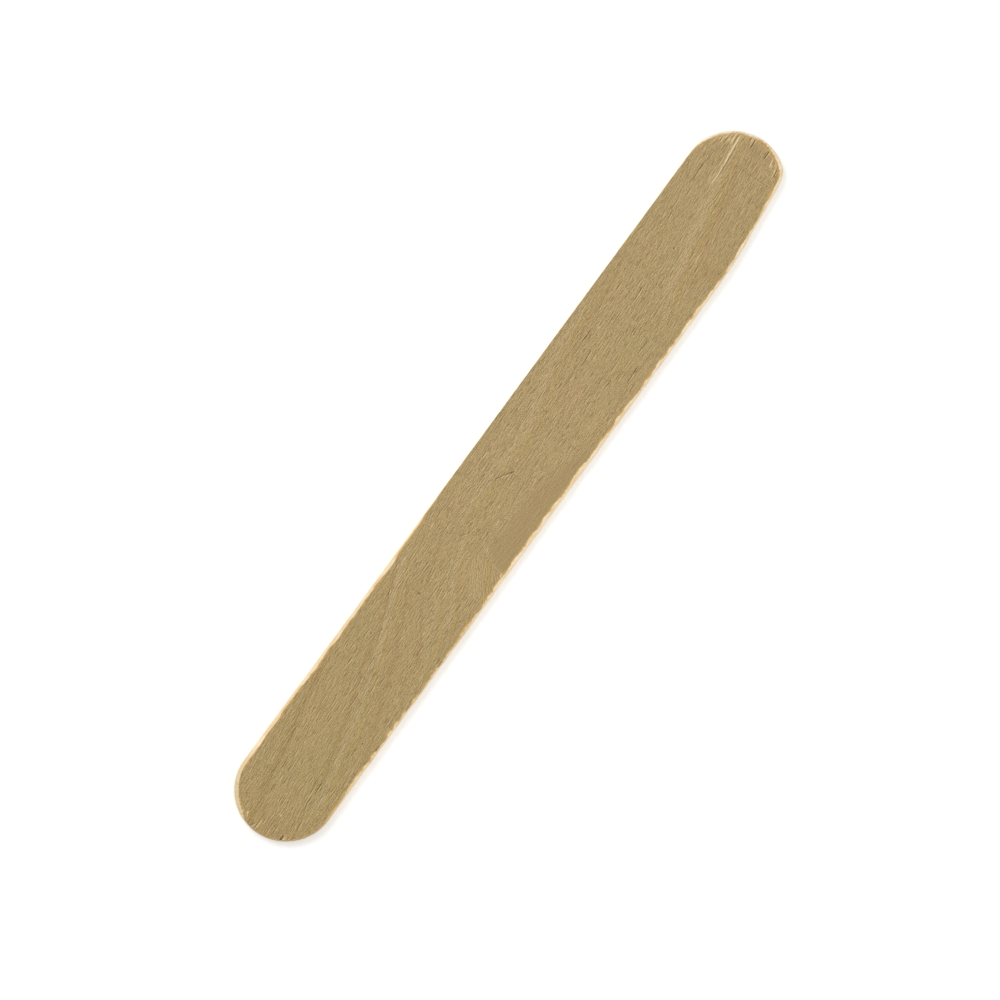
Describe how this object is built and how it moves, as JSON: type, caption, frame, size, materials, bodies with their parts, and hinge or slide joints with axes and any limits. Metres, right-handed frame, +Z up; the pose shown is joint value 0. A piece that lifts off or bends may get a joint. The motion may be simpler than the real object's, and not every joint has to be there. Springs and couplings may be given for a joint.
{
  "type": "tongue depressor",
  "caption": "Flat wooden blade with parallel sides, full-round ends and rounded arrises, for pressing the tongue down in an examination.",
  "frame": {"origin": "centre of the overall length and width, on the underside that the blade lies on", "axes": "+X along the grain towards the end whose side slopes in, +Y across the blade away from that slope, +Z up out of the upper face"},
  "size_m": [0.15, 0.0176, 0.0016],
  "materials": {
    "birch": "matte"
  },
  "bodies": {
    "root": {"blade": "birch"}
  },
  "joints": []
}
